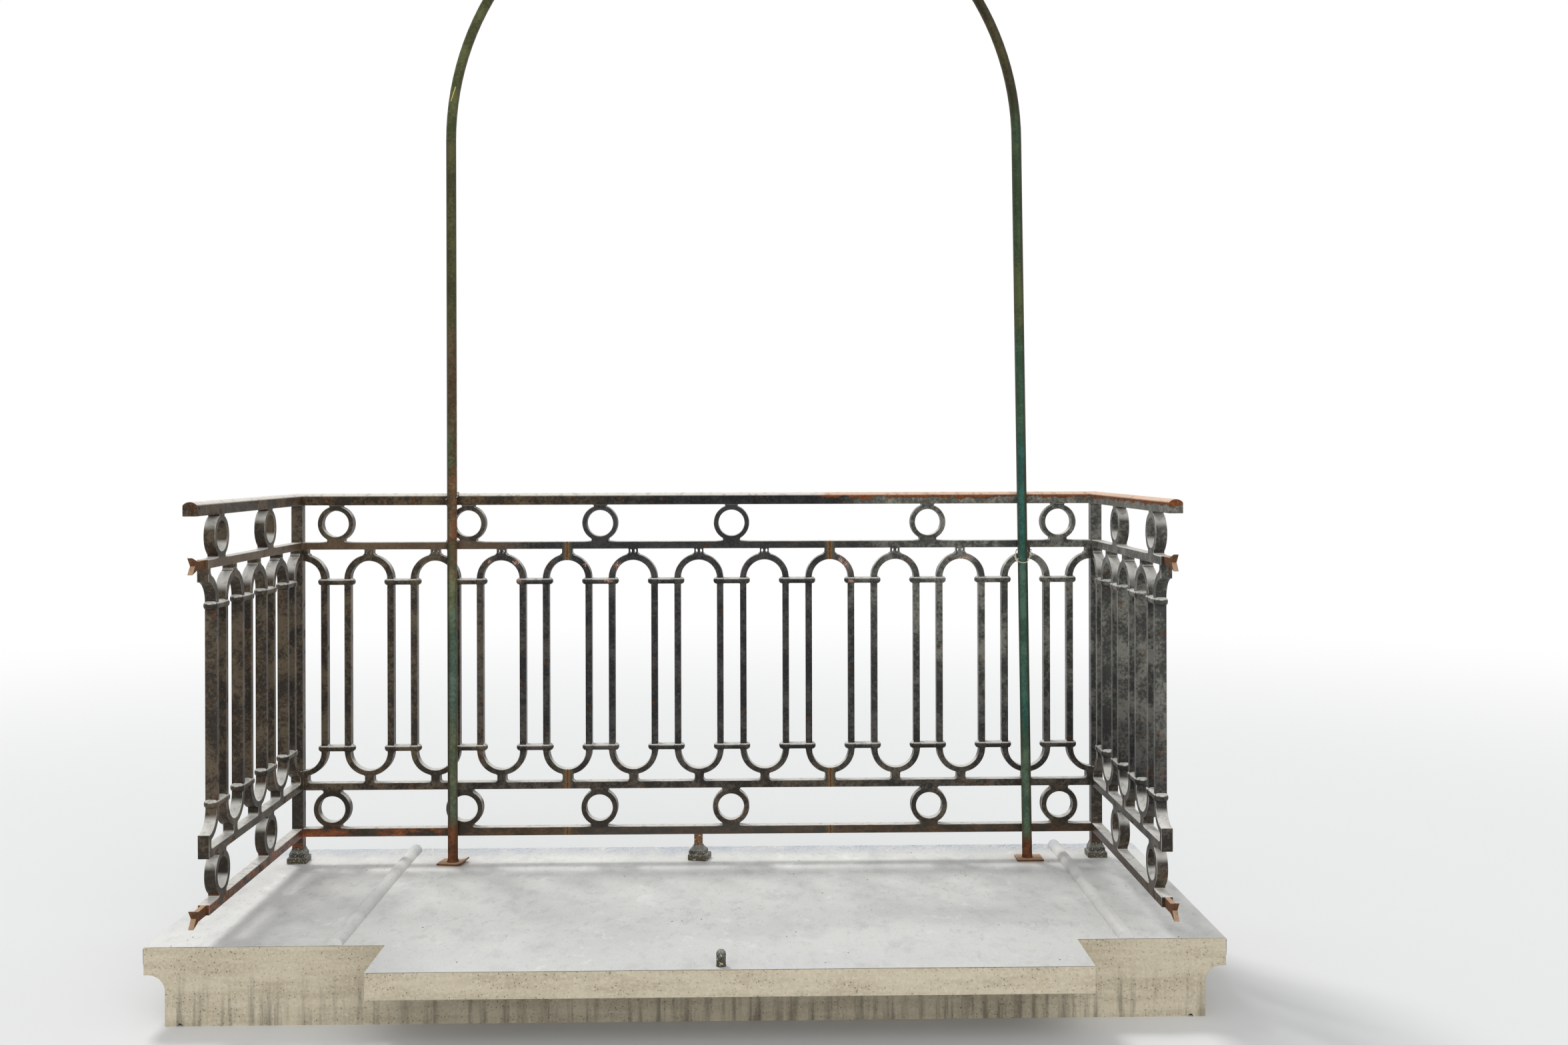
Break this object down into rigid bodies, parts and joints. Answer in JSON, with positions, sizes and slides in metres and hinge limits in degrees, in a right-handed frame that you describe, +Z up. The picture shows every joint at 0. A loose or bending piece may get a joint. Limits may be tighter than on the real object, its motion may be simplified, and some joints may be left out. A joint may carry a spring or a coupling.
{
  "type": "iron-railed window balcony",
  "caption": "Shallow stone balcony for a pair of tall doors, with a cast-iron railing of looped bars and rings, a sheet-metal floor and a pipe hoop.",
  "frame": {"origin": "on the slab's rear face, at the railing's middle and half the slab's thickness up", "axes": "+X along the wall to the right as seen from the room, +Y away from the wall, +Z up"},
  "size_m": [2.464, 1.06, 2.9333],
  "materials": {
    "stone": "weathered limestone",
    "floor_sheet": "dull weathered sheet metal, stained",
    "cast_iron": "old black paint with rust at the seams",
    "handrail_iron": "old black paint, rusting along the edge",
    "dark_iron": "weathered dark paint",
    "rusty_iron": "rusted iron",
    "green_pipe": "old green paint, rusting through",
    "binding_wire": "dull wire",
    "string": "twisted string"
  },
  "bodies": {
    "root": {"slab": "stone", "floor_sheet_left": "floor_sheet", "floor_sheet_centre": "floor_sheet", "floor_sheet_right": "floor_sheet", "batten_roll_left": "floor_sheet", "batten_roll_right": "floor_sheet", "shutter_stop": "dark_iron", "front_panel_left": "cast_iron", "front_panel_centre": "cast_iron", "front_panel_right": "cast_iron", "side_panel_left": "cast_iron", "side_panel_right": "cast_iron", "handrail_front": "handrail_iron", "handrail_left": "handrail_iron", "handrail_right": "handrail_iron", "corner_post_left": "cast_iron", "corner_post_right": "cast_iron", "foot_centre": "dark_iron", "foot_corner_left": "dark_iron", "foot_corner_right": "dark_iron", "wall_lug_lower_left": "rusty_iron", "wall_lug_upper_left": "rusty_iron", "wall_lug_lower_right": "rusty_iron", "wall_lug_upper_right": "rusty_iron", "hoop_leg_left": "green_pipe", "hoop_leg_right": "green_pipe", "hoop_bend": "green_pipe", "base_plate_left": "rusty_iron", "base_plate_right": "rusty_iron", "wire_tie_upper": "binding_wire", "wire_tie_lower": "binding_wire", "string_tie": "string"}
  },
  "joints": []
}
